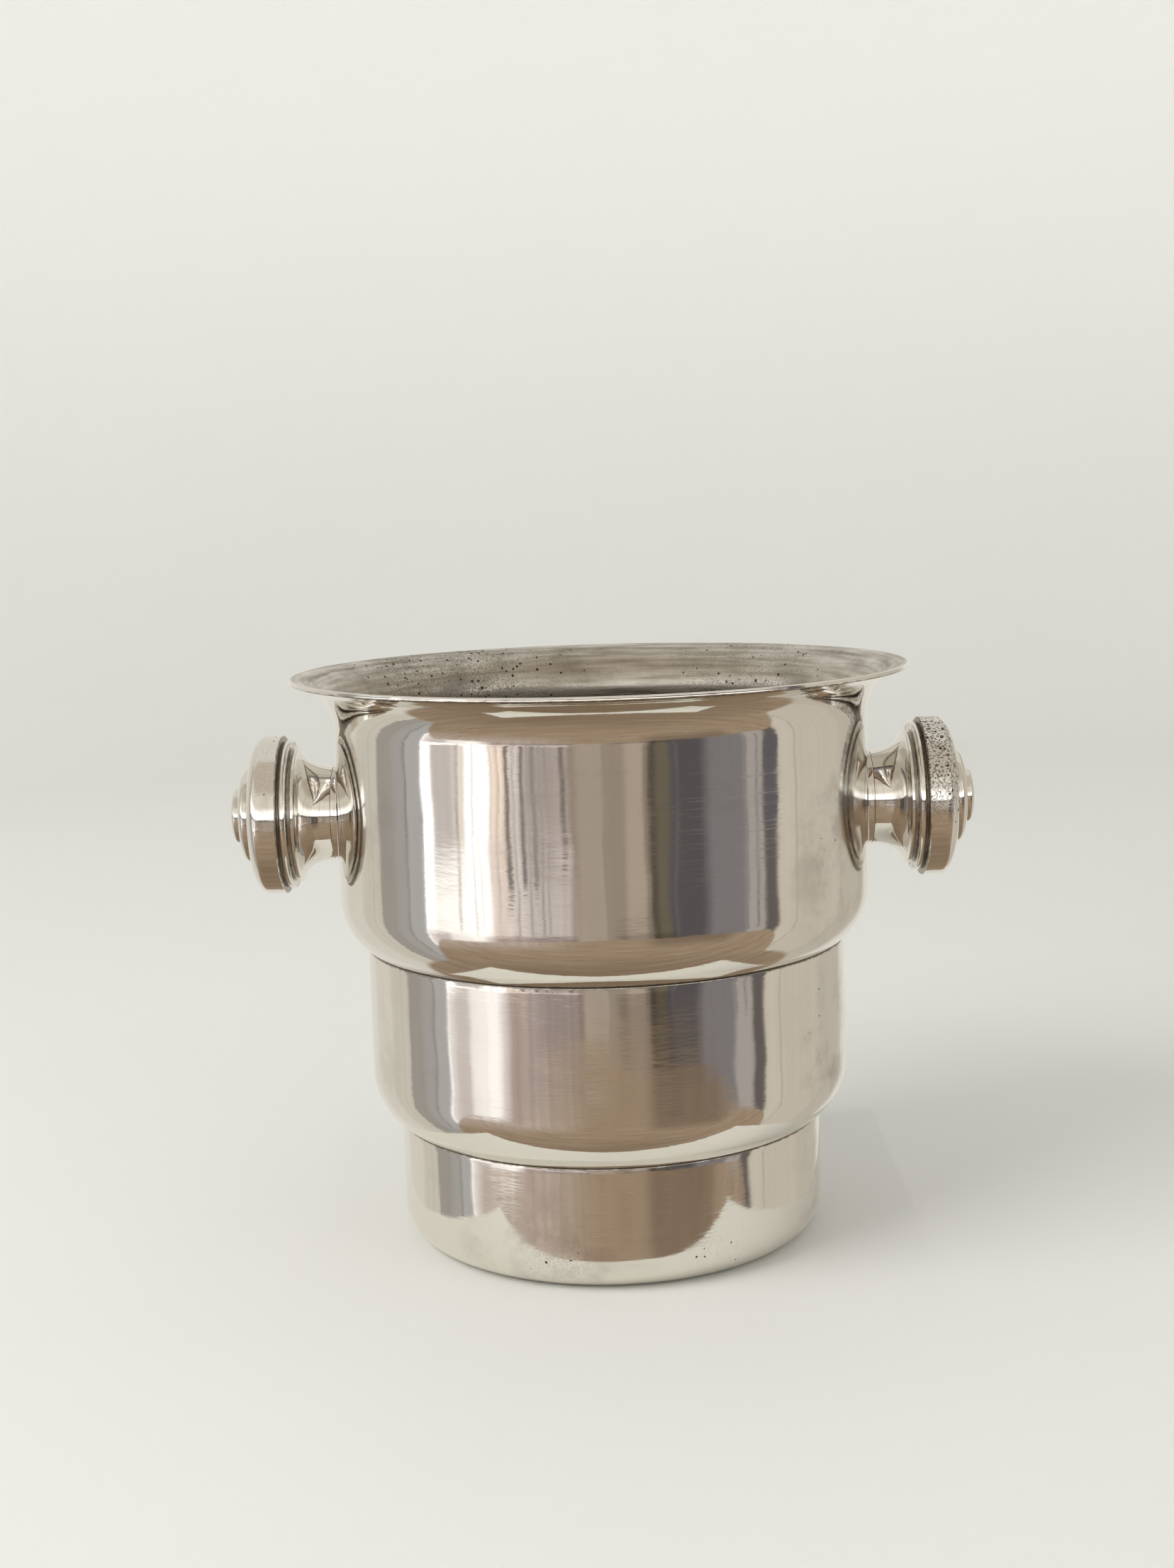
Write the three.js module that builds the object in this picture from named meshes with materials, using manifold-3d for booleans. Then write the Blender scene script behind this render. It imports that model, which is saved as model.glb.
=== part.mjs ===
// Three-tier silver-plated champagne bucket with two turned knob handles.
// Units are millimetres and +Z is up. The origin is the centre of the resting face,
// the handles point along -X and +X, and the front of the bucket faces -Y.
import * as THREE from "three";
import { mergeVertices } from "three/addons/utils/BufferGeometryUtils.js";
import Module from "manifold-3d";

// ---- Driving dimensions of the body ----
const LOWER_RADIUS = 71.8; // outside of the lower tier's wall
const LOWER_STEP = 9; // how far the middle tier's wall stands out past the lower one
const UPPER_STEP = 8.5; // how far the upper tier's wall stands out past the middle one
const FLARE_REACH = 13.7; // how far the rim stands out past the upper tier's wall
const LOWER_HEIGHT = 41.6; // resting face to the seam under the middle tier
const MIDDLE_HEIGHT = 60; // seam to seam
const UPPER_HEIGHT = 90.9; // seam under the upper tier to the top of the rim
const SHEET = 1.5; // thickness of the spun sheet
const FLARE_DROP = 14.8; // height of the rim's flare below the sheet
const UPPER_SHOULDER_BEND = 20.5; // radius of the shoulder under the upper tier
const MIDDLE_SHOULDER_BEND = 19.3; // radius of the shoulder under the middle tier
const BASE_BEND = 11.8; // radius between the lower wall and the resting face
const RESTING_WIDTH = 7; // width of the flat resting ring
const FLOOR_LIFT = 1.6; // how far the floor is raised inside the resting ring
const FLOOR_RAMP = 5; // width of the slope between them
const SPIGOT_DEPTH = 6; // overlap of one tier inside the next
const LAP_CLEARANCE = 0.12; // radial clearance of that overlap
const JOINT_GAP = 0.05; // solder or seat gap between pieces that meet face to face
const EDGE_ROUND = 0.45; // small round on the sheet's cut edges

// ---- Driving dimensions of a handle, measured along and around its own axis ----
const HANDLE_RISE = 43.9; // height of the handle's axis above the upper seam
const FOOT_RADIUS = 15.7; // round foot on the wall, and the neck's narrow end
const FOOT_THICKNESS = 1.1; // foot thickness at its thinnest, over the wall
const SADDLE_GAP = 0.15; // gap between a saddle face and the wall
const NECK_LENGTH = 12.3; // foot to bead ring
const NECK_LIP_RADIUS = 22.7; // the neck's wide end
const NECK_LIP_THICKNESS = 1.1;
const NECK_SHELL = 2.2; // metal left around the neck's hollow
const NECK_GROOVE_WIDTH = 1.1; // dark groove between the neck and the bead
const NECK_GROOVE_RADIUS = 21.6; // radius at its bottom
const DRUM_GROOVE_WIDTH = 0.5; // narrow groove between the bead and the drum
const DRUM_GROOVE_RADIUS = 23.8;
const BEAD_WIDTH = 2.4;
const BEAD_RADIUS = 25.2;
const BEAD_CROWN = 0.9; // height of the bead's rounded top
const DRUM_RADIUS = 26.7;
const DRUM_BAND = 6; // straight width of the drum's band
const DRUM_CROWN = 5; // height of the drum's convex shoulder
const DRUM_SHELL = 1.6; // wall of the hollow drum
const DRUM_LIP_RADIUS = 21; // inner edge of the lip turned in behind the band
const DRUM_HUB_RADIUS = 8; // boss inside the drum that bears on the bead ring
const STEP_RADIUS = 16.2; // stepped disc on the drum
const STEP_EDGE = 1.2;
const STEP_CROWN = 2.8;
const BUTTON_RADIUS = 9.5; // domed boss in the middle of the stepped disc
const BUTTON_EDGE = 1.2;
const BUTTON_DOME = 2.3;

// ---- Driving dimensions of the fixings ----
const STUD_RADIUS = 3; // M6 tie stud through the handle and the wall
const STUD_CLEARANCE = 0.3; // radial clearance of every hole it passes through
const STUD_HEAD_RADIUS = 6.4;
const STUD_HEAD_THICKNESS = 2.6;
const STUD_TAIL = 1.6; // stud left proud of the nut
const WASHER_RADIUS = 12; // saddle washer on the inside of the wall
const WASHER_THICKNESS = 1.4; // at its thinnest
const NUT_ACROSS_FLATS = 10;
const NUT_THICKNESS = 5;

// ---- Facets ----
const BODY_SEGMENTS = 60;
const HANDLE_SEGMENTS = 28;
const FIXING_SEGMENTS = 20;
const BODY_BEND_STEPS = 5;
const HANDLE_BEND_STEPS = 5;

// ---- Derived places ----
const MIDDLE_RADIUS = LOWER_RADIUS + LOWER_STEP;
const UPPER_RADIUS = MIDDLE_RADIUS + UPPER_STEP;
const RIM_RADIUS = UPPER_RADIUS + FLARE_REACH;
const LOWER_SEAM_Z = LOWER_HEIGHT;
const UPPER_SEAM_Z = LOWER_SEAM_Z + MIDDLE_HEIGHT;
const HEIGHT = UPPER_SEAM_Z + UPPER_HEIGHT;
const HANDLE_Z = UPPER_SEAM_Z + HANDLE_RISE;
const STUD_BORE = STUD_RADIUS + STUD_CLEARANCE;
const NUT_SEAT = nutSeat();
const handleStack = stackHandle();

const SILVER = { color: 0xc9c6bf, roughness: 0.12, metalness: 1 };
const BRASS = { color: 0xb59a5c, roughness: 0.35, metalness: 1 };
const STEEL = { color: 0x9a9a98, roughness: 0.4, metalness: 1 };

const wasm = await Module();
wasm.setup();

// How far the upper wall falls back under the edge of a round seat of this radius.
function sagitta(seatRadius) {
  return UPPER_RADIUS - Math.sqrt(UPPER_RADIUS ** 2 - seatRadius ** 2);
}

// Face of the saddle washer that the nut bears on.
function nutSeat() {
  const wallInside = UPPER_RADIUS - SHEET - SADDLE_GAP;
  return wallInside - sagitta(WASHER_RADIUS) - WASHER_THICKNESS;
}

// Axial stations of the handle's pieces, counted from the bucket's axis.
function stackHandle() {
  const footOuter = UPPER_RADIUS + FOOT_THICKNESS;
  const neckInner = footOuter + JOINT_GAP;
  const neckOuter = neckInner + NECK_LENGTH;
  const beadInner = neckOuter + JOINT_GAP;
  const beadOuter = beadInner + NECK_GROOVE_WIDTH + BEAD_WIDTH + DRUM_GROOVE_WIDTH;
  const drumInner = beadOuter + JOINT_GAP;
  const drumOuter = drumInner + DRUM_BAND + DRUM_CROWN;
  const stepInner = drumOuter + JOINT_GAP;
  const stepOuter = stepInner + STEP_EDGE + STEP_CROWN;
  const buttonInner = stepOuter + JOINT_GAP;
  return {
    footOuter,
    neckInner,
    neckOuter,
    beadInner,
    beadOuter,
    drumInner,
    drumOuter,
    stepInner,
    stepOuter,
    buttonInner,
  };
}

// Points of an elliptical arc in a lathe profile, from one angle to another in degrees.
function arc(centreRadius, centreHeight, acrossRadius, upRadius, from, to, steps) {
  const points = [];
  for (let i = 0; i <= steps; i += 1) {
    const angle = THREE.MathUtils.degToRad(from + ((to - from) * i) / steps);
    const radius = centreRadius + acrossRadius * Math.cos(angle);
    points.push([radius, centreHeight + upRadius * Math.sin(angle)]);
  }
  return points;
}

// A body of revolution about +Z from [radius, height] pairs.
function turned(profile, segments) {
  const points = profile.map(([radius, height]) => new THREE.Vector2(radius, height));
  return new THREE.LatheGeometry(points, segments).rotateX(Math.PI / 2);
}

// A body of revolution about +X from [radius, distance along X] pairs, set at the handle's height.
function turnedAlongX(profile, segments) {
  return turned(profile, segments)
    .rotateY(Math.PI / 2)
    .translate(0, 0, HANDLE_Z);
}

function closed(profile) {
  return [...profile, profile[0]];
}

function solidFrom(geometry) {
  const bare = geometry.clone();
  bare.deleteAttribute("normal");
  bare.deleteAttribute("uv");
  const merged = mergeVertices(bare);
  return new wasm.Manifold(
    new wasm.Mesh({
      numProp: 3,
      vertProperties: merged.attributes.position.array,
      triVerts: new Uint32Array(merged.index.array),
    }),
  );
}

function geometryFrom(solid) {
  const mesh = solid.getMesh();
  const geometry = new THREE.BufferGeometry();
  geometry.setAttribute("position", new THREE.BufferAttribute(mesh.vertProperties, 3));
  geometry.setIndex(new THREE.BufferAttribute(mesh.triVerts, 1));
  geometry.computeVertexNormals();
  return geometry;
}

function cut(geometry, ...tools) {
  let solid = solidFrom(geometry);
  for (const tool of tools) {
    solid = solid.subtract(solidFrom(tool));
  }
  return geometryFrom(solid);
}

function piece(name, geometry, finish) {
  const mesh = new THREE.Mesh(geometry, new THREE.MeshStandardMaterial(finish));
  mesh.name = name;
  return mesh;
}

// A straight round bar along X at the handle's height, between two distances from the axis.
function barAlongX(radius, from, to, segments) {
  return turnedAlongX([[0, from], [radius, from], [radius, to], [0, to]], segments);
}

// ---- Body ----

// Outside and inside radius of the spigot that a tier puts into the one below it.
function spigotRadii(lowerTierRadius) {
  const outside = lowerTierRadius - SHEET - LAP_CLEARANCE;
  return { outside, inside: outside - SHEET };
}

// The shoulder under a tier: it bends in from the wall to the radius of the tier below,
// steps in under its own edge and ends in a spigot. Listed from the wall down and back up.
function shoulder(wallRadius, tierBelowRadius, seamZ, bend) {
  const centre = wallRadius - bend;
  const sweep = Math.acos((tierBelowRadius - centre) / bend);
  const centreZ = seamZ + JOINT_GAP + bend * Math.sin(sweep);
  const spigot = spigotRadii(tierBelowRadius);
  const innerBend = bend - SHEET;
  const innerSweep = Math.acos((spigot.inside - centre) / innerBend);
  const outerDegrees = THREE.MathUtils.radToDeg(sweep);
  const innerDegrees = THREE.MathUtils.radToDeg(innerSweep);
  const outside = arc(centre, centreZ, bend, bend, 0, -outerDegrees, BODY_BEND_STEPS);
  const inside = arc(centre, centreZ, innerBend, innerBend, -innerDegrees, 0, BODY_BEND_STEPS);
  return {
    outside,
    spigot: [
      [spigot.outside, seamZ + JOINT_GAP],
      [spigot.outside, seamZ - SPIGOT_DEPTH],
      [spigot.inside, seamZ - SPIGOT_DEPTH],
    ],
    inside,
  };
}

// Top edge of a tier that receives the spigot of the one above, from the inside outwards.
function mouth(wallRadius, seamZ) {
  return [
    [wallRadius - SHEET, seamZ],
    [wallRadius - EDGE_ROUND, seamZ],
    [wallRadius, seamZ - EDGE_ROUND],
  ];
}

function upperTier() {
  const flareZ = HEIGHT - SHEET - FLARE_DROP;
  const under = shoulder(UPPER_RADIUS, MIDDLE_RADIUS, UPPER_SEAM_Z, UPPER_SHOULDER_BEND);
  const flareInside = arc(
    RIM_RADIUS,
    flareZ,
    FLARE_REACH + SHEET,
    FLARE_DROP + SHEET,
    180,
    95,
    BODY_BEND_STEPS + 1,
  );
  const flareOutside = arc(
    RIM_RADIUS,
    flareZ,
    FLARE_REACH,
    FLARE_DROP,
    95,
    180,
    BODY_BEND_STEPS + 1,
  );
  const rimEdge = [
    [RIM_RADIUS - EDGE_ROUND, HEIGHT],
    [RIM_RADIUS, HEIGHT - EDGE_ROUND],
    [RIM_RADIUS, HEIGHT - SHEET + EDGE_ROUND],
    [RIM_RADIUS - EDGE_ROUND, HEIGHT - SHEET],
  ];
  const profile = [
    ...under.inside,
    ...flareInside,
    ...rimEdge,
    ...flareOutside,
    ...under.outside,
    ...under.spigot,
  ].reverse();
  const shell = turned(closed(profile), BODY_SEGMENTS);
  const holes = barAlongX(STUD_BORE, -RIM_RADIUS, RIM_RADIUS, FIXING_SEGMENTS);
  return piece("upper_tier", cut(shell, holes), SILVER);
}

function middleTier() {
  const under = shoulder(MIDDLE_RADIUS, LOWER_RADIUS, LOWER_SEAM_Z, MIDDLE_SHOULDER_BEND);
  const profile = [
    ...under.inside,
    ...mouth(MIDDLE_RADIUS, UPPER_SEAM_Z),
    ...under.outside,
    ...under.spigot,
  ].reverse();
  return piece("middle_tier", turned(closed(profile), BODY_SEGMENTS), SILVER);
}

function lowerTier() {
  const bendCentre = LOWER_RADIUS - BASE_BEND;
  const innerBend = BASE_BEND - SHEET;
  const ringInner = bendCentre - RESTING_WIDTH;
  const floorRadius = ringInner - FLOOR_RAMP;
  const outside = arc(bendCentre, BASE_BEND, BASE_BEND, BASE_BEND, -90, 0, BODY_BEND_STEPS);
  const inside = arc(bendCentre, BASE_BEND, innerBend, innerBend, 0, -90, BODY_BEND_STEPS);
  const profile = [
    [0, FLOOR_LIFT],
    [floorRadius, FLOOR_LIFT],
    [ringInner, 0],
    ...outside,
    ...mouth(LOWER_RADIUS, LOWER_SEAM_Z).reverse(),
    ...inside,
    [ringInner, SHEET],
    [floorRadius, FLOOR_LIFT + SHEET],
    [0, FLOOR_LIFT + SHEET],
  ];
  return piece("lower_tier", turned(profile, BODY_SEGMENTS), SILVER);
}

// ---- Handle, made pointing along +X ----

// Cylinder about Z that stands for the outside or inside of the upper wall as a cutting tool.
function wallTool(radius) {
  const bottom = HANDLE_Z - DRUM_RADIUS;
  const top = HANDLE_Z + DRUM_RADIUS;
  return turned([[0, bottom], [radius, bottom], [radius, top], [0, top]], 4 * BODY_SEGMENTS);
}

// A ring about X with a bore for the stud.
function ring(radius, from, to) {
  const section = [[STUD_BORE, from], [radius, from], [radius, to], [STUD_BORE, to]];
  return turnedAlongX(closed(section), HANDLE_SEGMENTS);
}

function foot(side) {
  const blank = ring(FOOT_RADIUS, UPPER_RADIUS - sagitta(FOOT_RADIUS), handleStack.footOuter);
  return piece(side + "_foot", cut(blank, wallTool(UPPER_RADIUS + SADDLE_GAP)), SILVER);
}

function neck(side) {
  const { neckInner, neckOuter } = handleStack;
  const flareStart = neckOuter - NECK_LIP_THICKNESS;
  const reach = NECK_LIP_RADIUS - FOOT_RADIUS;
  const flareLength = flareStart - neckInner;
  const outside = arc(NECK_LIP_RADIUS, neckInner, reach, flareLength, 180, 100, HANDLE_BEND_STEPS);
  const hollow = FOOT_RADIUS - NECK_SHELL;
  return piece(
    side + "_neck",
    turnedAlongX(
      closed([
        [STUD_BORE, neckInner],
        ...outside,
        [NECK_LIP_RADIUS, flareStart],
        [NECK_LIP_RADIUS, neckOuter],
        [hollow, neckOuter],
        [hollow, neckInner + NECK_SHELL],
        [STUD_BORE, neckInner + NECK_SHELL],
      ]),
      HANDLE_SEGMENTS,
    ),
    SILVER,
  );
}

function beadRing(side) {
  const { beadInner, beadOuter } = handleStack;
  const beadStart = beadInner + NECK_GROOVE_WIDTH;
  const beadEnd = beadOuter - DRUM_GROOVE_WIDTH;
  const beadCentre = (beadStart + beadEnd) / 2;
  const crownBase = BEAD_RADIUS - BEAD_CROWN;
  const crown = arc(crownBase, beadCentre, BEAD_CROWN, BEAD_WIDTH / 2, -90, 90, 4);
  return piece(
    side + "_bead_ring",
    turnedAlongX(
      closed([
        [STUD_BORE, beadInner],
        [NECK_GROOVE_RADIUS, beadInner],
        [NECK_GROOVE_RADIUS, beadStart],
        ...crown,
        [DRUM_GROOVE_RADIUS, beadEnd],
        [DRUM_GROOVE_RADIUS, beadOuter],
        [STUD_BORE, beadOuter],
      ]),
      HANDLE_SEGMENTS,
    ),
    SILVER,
  );
}

function drum(side) {
  const { drumInner, drumOuter } = handleStack;
  const bandEnd = drumInner + DRUM_BAND;
  const crownReach = DRUM_RADIUS - STEP_RADIUS;
  const crown = arc(STEP_RADIUS, bandEnd, crownReach, DRUM_CROWN, 0, 90, HANDLE_BEND_STEPS);
  const hollow = DRUM_RADIUS - DRUM_SHELL;
  const roof = drumOuter - DRUM_SHELL;
  return piece(
    side + "_drum",
    turnedAlongX(
      closed([
        [DRUM_LIP_RADIUS, drumInner],
        [DRUM_RADIUS - EDGE_ROUND, drumInner],
        [DRUM_RADIUS, drumInner + EDGE_ROUND],
        ...crown,
        [STUD_BORE, drumOuter],
        [STUD_BORE, drumInner],
        [DRUM_HUB_RADIUS, drumInner],
        [DRUM_HUB_RADIUS, roof],
        [STEP_RADIUS, roof],
        [hollow, bandEnd],
        [hollow, drumInner + DRUM_SHELL],
        [DRUM_LIP_RADIUS, drumInner + DRUM_SHELL],
      ]),
      HANDLE_SEGMENTS,
    ),
    SILVER,
  );
}

// The stepped disc covers the stud's head, so it is hollow behind.
function stepDisc(side) {
  const { stepInner, stepOuter } = handleStack;
  const crownBase = stepInner + STEP_EDGE;
  const reach = STEP_RADIUS - BUTTON_RADIUS;
  const crown = arc(BUTTON_RADIUS, crownBase, reach, STEP_CROWN, 0, 90, HANDLE_BEND_STEPS);
  const pocket = STUD_HEAD_RADIUS + STUD_CLEARANCE;
  const pocketDepth = STUD_HEAD_THICKNESS + STUD_CLEARANCE;
  return piece(
    side + "_step_disc",
    turnedAlongX(
      [
        [0, stepInner + pocketDepth],
        [pocket, stepInner + pocketDepth],
        [pocket, stepInner],
        [STEP_RADIUS, stepInner],
        ...crown,
        [0, stepOuter],
      ],
      HANDLE_SEGMENTS,
    ),
    SILVER,
  );
}

function button(side) {
  const { buttonInner } = handleStack;
  const domeBase = buttonInner + BUTTON_EDGE;
  const dome = arc(0, domeBase, BUTTON_RADIUS, BUTTON_DOME, 0, 90, HANDLE_BEND_STEPS);
  return piece(
    side + "_button",
    turnedAlongX([[0, buttonInner], [BUTTON_RADIUS, buttonInner], ...dome], HANDLE_SEGMENTS),
    SILVER,
  );
}

function stud(side) {
  const headBase = handleStack.stepInner;
  const tail = NUT_SEAT - NUT_THICKNESS - STUD_TAIL;
  const headRound = headBase + STUD_HEAD_THICKNESS - EDGE_ROUND;
  return piece(
    side + "_stud",
    turnedAlongX(
      [
        [0, tail],
        [STUD_RADIUS - EDGE_ROUND, tail],
        [STUD_RADIUS, tail + EDGE_ROUND],
        [STUD_RADIUS, headBase],
        [STUD_HEAD_RADIUS, headBase],
        [STUD_HEAD_RADIUS, headRound],
        [STUD_HEAD_RADIUS - EDGE_ROUND, headBase + STUD_HEAD_THICKNESS],
        [0, headBase + STUD_HEAD_THICKNESS],
      ],
      FIXING_SEGMENTS,
    ),
    BRASS,
  );
}

function saddleWasher(side) {
  const blank = ring(WASHER_RADIUS, NUT_SEAT, UPPER_RADIUS);
  const wallInside = UPPER_RADIUS - SHEET - SADDLE_GAP;
  const facetDrop = wallInside * (1 - Math.cos(Math.PI / BODY_SEGMENTS));
  const solid = solidFrom(blank).intersect(solidFrom(wallTool(wallInside - facetDrop)));
  return piece(side + "_saddle_washer", geometryFrom(solid), BRASS);
}

function nut(side) {
  const outline = new THREE.Shape();
  const corner = NUT_ACROSS_FLATS / 2 / Math.cos(Math.PI / 6);
  for (let i = 0; i < 6; i += 1) {
    const angle = (i * Math.PI) / 3;
    const x = corner * Math.cos(angle);
    const y = corner * Math.sin(angle);
    if (i === 0) {
      outline.moveTo(x, y);
    } else {
      outline.lineTo(x, y);
    }
  }
  outline.closePath();
  const hole = new THREE.Path();
  hole.absarc(0, 0, STUD_RADIUS + JOINT_GAP, 0, 2 * Math.PI, true);
  outline.holes.push(hole);
  const geometry = new THREE.ExtrudeGeometry(outline, {
    depth: NUT_THICKNESS,
    bevelEnabled: false,
    curveSegments: FIXING_SEGMENTS,
  });
  geometry.rotateY(Math.PI / 2);
  geometry.translate(NUT_SEAT - JOINT_GAP - NUT_THICKNESS, 0, HANDLE_Z);
  return piece(side + "_nut", geometry, STEEL);
}

function handle(side, turn) {
  const group = new THREE.Group();
  const makers = [foot, neck, beadRing, drum, stepDisc, button, stud, saddleWasher, nut];
  for (const make of makers) {
    group.add(make(side));
  }
  group.rotation.z = turn;
  return group;
}

const bucket = new THREE.Group();
bucket.add(upperTier(), middleTier(), lowerTier());
bucket.add(handle("left_handle", Math.PI), handle("right_handle", 0));

export default bucket;
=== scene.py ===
"""Looks of the three-tier silver champagne bucket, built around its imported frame. Metres, +Z up.

The bucket stands on z = 0, its knobs point along -X and +X, and its front faces -Y.
"""
import math

import bmesh
import bpy
import numpy as np
from mathutils import Matrix, Vector


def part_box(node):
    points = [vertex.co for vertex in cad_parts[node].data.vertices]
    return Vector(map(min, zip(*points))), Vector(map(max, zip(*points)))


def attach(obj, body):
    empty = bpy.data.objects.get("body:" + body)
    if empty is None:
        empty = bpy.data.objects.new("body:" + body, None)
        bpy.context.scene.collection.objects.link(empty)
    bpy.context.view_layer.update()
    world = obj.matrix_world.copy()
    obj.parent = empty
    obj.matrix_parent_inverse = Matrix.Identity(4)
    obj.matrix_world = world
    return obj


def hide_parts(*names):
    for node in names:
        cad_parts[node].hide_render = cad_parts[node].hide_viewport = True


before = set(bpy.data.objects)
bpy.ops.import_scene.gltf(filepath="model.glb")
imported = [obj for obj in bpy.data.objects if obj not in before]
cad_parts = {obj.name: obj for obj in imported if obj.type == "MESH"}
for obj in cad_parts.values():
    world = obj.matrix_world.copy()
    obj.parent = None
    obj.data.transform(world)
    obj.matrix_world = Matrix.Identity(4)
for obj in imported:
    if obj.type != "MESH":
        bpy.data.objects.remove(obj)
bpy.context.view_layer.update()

MM = 0.001

# ---- Sizes read from the frame ----
UPPER_LOW, UPPER_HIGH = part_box("upper_tier")
MIDDLE_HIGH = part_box("middle_tier")[1]
LOWER_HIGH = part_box("lower_tier")[1]
FOOT_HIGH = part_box("right_handle_foot")[1]
NECK_LOW, NECK_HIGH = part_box("right_handle_neck")
BEAD_LOW, BEAD_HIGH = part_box("right_handle_bead_ring")
DRUM_LOW, DRUM_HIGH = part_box("right_handle_drum")
STEP_LOW, STEP_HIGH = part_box("right_handle_step_disc")
BUTTON_LOW, BUTTON_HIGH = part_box("right_handle_button")
STUD_LOW, STUD_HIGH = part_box("right_handle_stud")
WASHER_LOW, WASHER_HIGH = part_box("right_handle_saddle_washer")
NUT_LOW, NUT_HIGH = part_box("right_handle_nut")

RIM_RADIUS = UPPER_HIGH.x
HEIGHT = UPPER_HIGH.z
MIDDLE_RADIUS = MIDDLE_HIGH.x
LOWER_RADIUS = LOWER_HIGH.x
UPPER_SEAM = MIDDLE_HIGH.z
LOWER_SEAM = LOWER_HIGH.z
HANDLE_Z = (DRUM_LOW.z + DRUM_HIGH.z) / 2

# ---- Sizes of the sheet metal, as in the CAD part ----
SHEET = 1.5 * MM
FLARE_REACH = 13.7 * MM
FLARE_DROP = 14.8 * MM
UPPER_RADIUS = RIM_RADIUS - FLARE_REACH
UPPER_SHOULDER_BEND = 20.5 * MM
MIDDLE_SHOULDER_BEND = 19.3 * MM
BASE_BEND = 11.8 * MM
RESTING_WIDTH = 7 * MM
FLOOR_LIFT = 1.6 * MM
FLOOR_RAMP = 5 * MM
SPIGOT_DEPTH = UPPER_SEAM - UPPER_LOW.z
LAP_CLEARANCE = 0.12 * MM
JOINT_GAP = 0.05 * MM
EDGE_ROUND = 0.45 * MM
STUD_RADIUS = 3 * MM
STUD_BORE = 3.3 * MM
THREAD_PITCH = 1 * MM
THREAD_DEPTH = 0.45 * MM
NUT_BORE = 3.05 * MM
NECK_LIP = 1.1 * MM
NECK_SHELL = 2.2 * MM
NECK_GROOVE_RADIUS = 21.6 * MM
NECK_GROOVE_WIDTH = 1.1 * MM
DRUM_GROOVE_RADIUS = 23.8 * MM
DRUM_GROOVE_WIDTH = 0.5 * MM
BEAD_CROWN = 0.9 * MM
DRUM_CROWN = 5 * MM
DRUM_SHELL = 1.6 * MM
DRUM_LIP_RADIUS = 21 * MM
DRUM_HUB_RADIUS = 8 * MM
DISC_EDGE = 1.2 * MM
STUD_POCKET_DEPTH = 2.9 * MM
RIM_GROOVE_DEPTH = 0.22 * MM
FLOOR_BEND_ROUND = 4 * MM

# ---- Fineness of the finished surfaces ----
BODY_SEGMENTS = 288
HANDLE_SEGMENTS = 128
FIXING_SEGMENTS = 48
LONGEST_STEP = 1.9 * MM
BEND_STEP = math.radians(4)
ROUND_STEPS = 5
SHARP_ANGLE = math.radians(38)


# ---------------------------------------------------------------- profiles
def arc(centre, radii, start, end):
    """Points of an elliptical arc in (radius, height), from one angle to another in degrees."""
    first, last = math.radians(start), math.radians(end)
    steps = max(2, math.ceil(abs(last - first) / BEND_STEP))
    points = []
    for i in range(steps + 1):
        angle = first + (last - first) * i / steps
        across = centre[0] + radii[0] * math.cos(angle)
        points.append((across, centre[1] + radii[1] * math.sin(angle)))
    return points


def rounded(before, corner, after, radius):
    """A corner replaced by a small round of the given radius."""
    corner = Vector(corner)
    back = (Vector(before) - corner).normalized()
    ahead = (Vector(after) - corner).normalized()
    half = back.angle(ahead) / 2
    reach = radius / math.tan(half)
    middle = corner + (back + ahead).normalized() * radius / math.sin(half)
    start = corner + back * reach - middle
    end = corner + ahead * reach - middle
    turn = start.angle_signed(end)
    points = []
    for i in range(ROUND_STEPS + 1):
        points.append(tuple(middle + Matrix.Rotation(-turn * i / ROUND_STEPS, 2) @ start))
    return points


def with_rounds(corners):
    """A profile from (radius, height) points and (radius, height, round) corners."""
    points = []
    count = len(corners)
    for i, corner in enumerate(corners):
        if len(corner) == 2:
            points.append(corner)
        else:
            before = corners[(i - 1) % count][:2]
            after = corners[(i + 1) % count][:2]
            points += rounded(before, corner[:2], after, corner[2])
    return points


def refined(profile, closed):
    """The profile with its long straight stretches divided."""
    points = []
    pairs = zip(profile, profile[1:] + profile[:1] if closed else profile[1:])
    for start, end in pairs:
        steps = max(1, math.ceil(math.dist(start, end) / LONGEST_STEP))
        for i in range(steps):
            share = i / steps
            points.append(tuple(a + (b - a) * share for a, b in zip(start, end)))
    if not closed:
        points.append(profile[-1])
    return points


# ---------------------------------------------------------------- meshes
def new_object(name, mesh_maker):
    mesh = bpy.data.meshes.new(name)
    shape = bmesh.new()
    mesh_maker(shape)
    bmesh.ops.recalc_face_normals(shape, faces=shape.faces)
    shape.to_mesh(mesh)
    shape.free()
    made = bpy.data.objects.new(name, mesh)
    bpy.context.scene.collection.objects.link(made)
    return made


def smooth(made):
    made.data.shade_smooth()
    made.data.set_sharp_from_angle(angle=SHARP_ANGLE)
    return made


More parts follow.
